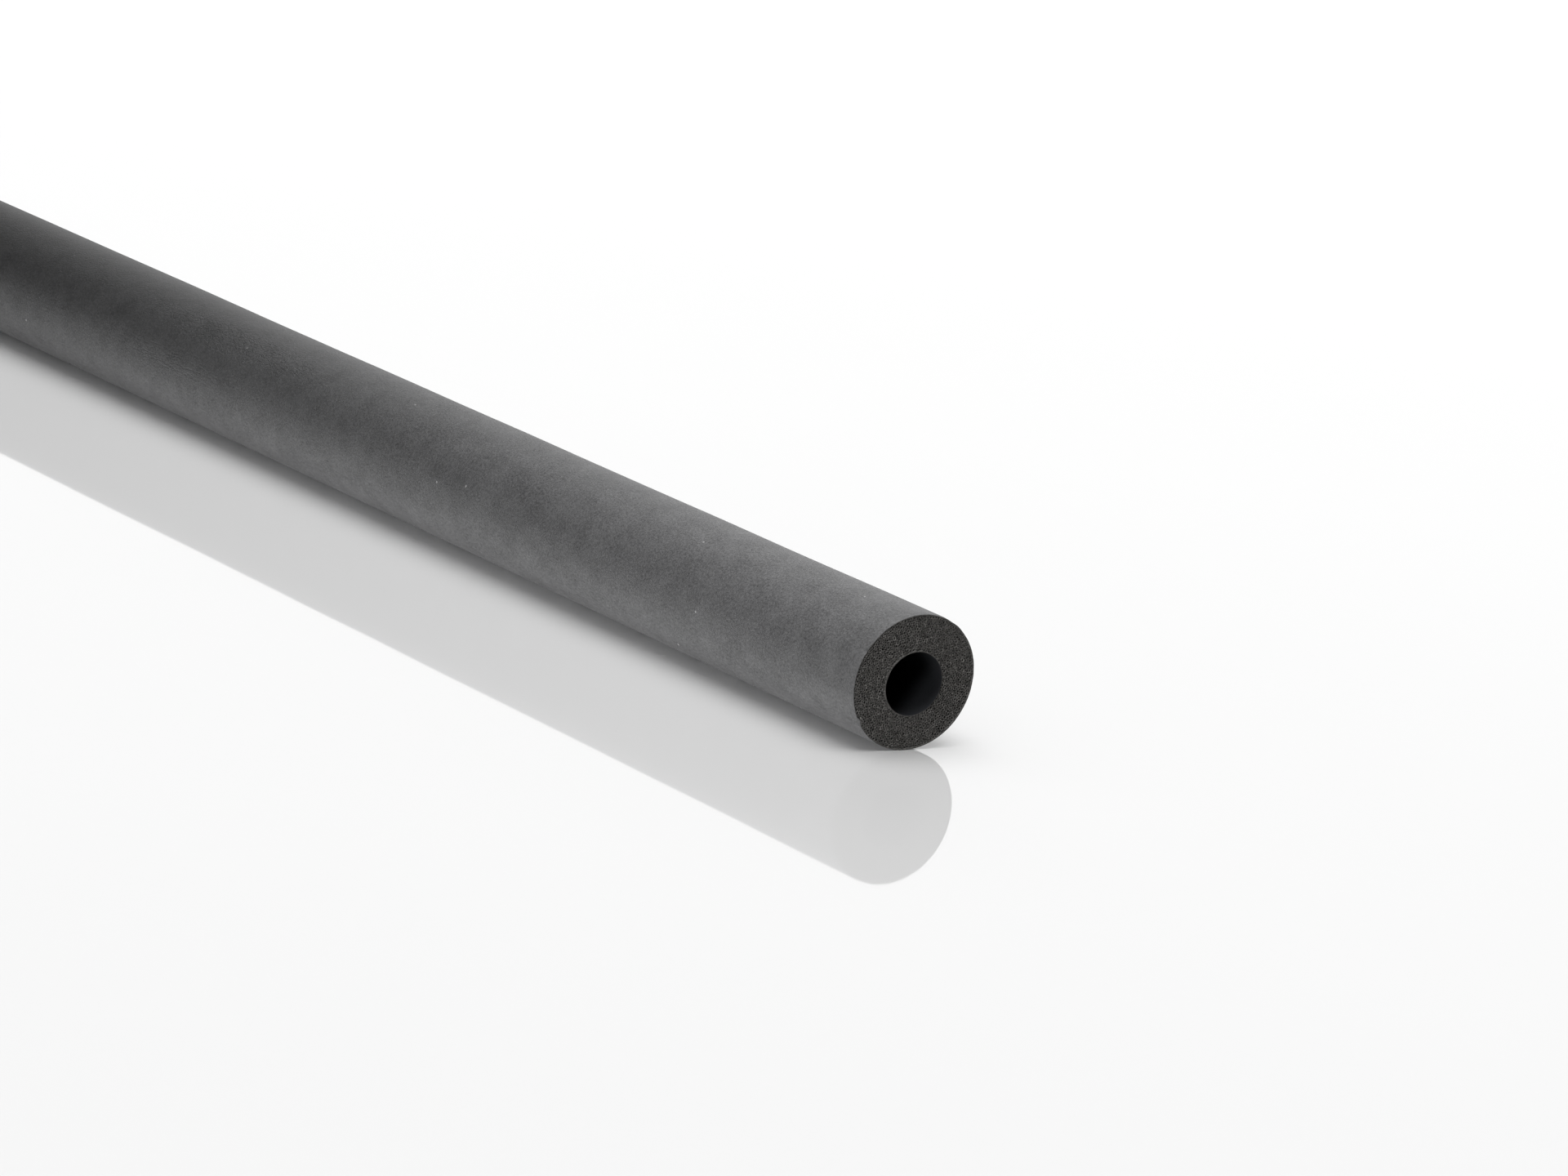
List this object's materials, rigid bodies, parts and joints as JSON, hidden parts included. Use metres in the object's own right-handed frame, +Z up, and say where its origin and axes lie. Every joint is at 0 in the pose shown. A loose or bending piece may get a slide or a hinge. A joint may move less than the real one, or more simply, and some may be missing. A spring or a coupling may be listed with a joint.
{
  "type": "pipe insulation tube",
  "caption": "Flexible closed-cell foam rubber tube that lags a 22 mm pipe; 13 mm wall, straight stock length, unslit, square-cut ends.",
  "frame": {"origin": "on the ground under the middle of the tube's length and width", "axes": "+X along the bore towards the near end, +Y across the tube, +Z up from the ground it lies on"},
  "size_m": [2, 0.0518, 0.0477],
  "materials": {
    "foam_rubber": "matte dark grey skin, open cut cells on the ends"
  },
  "bodies": {
    "root": {"insulation_tube": "foam_rubber"}
  },
  "joints": []
}
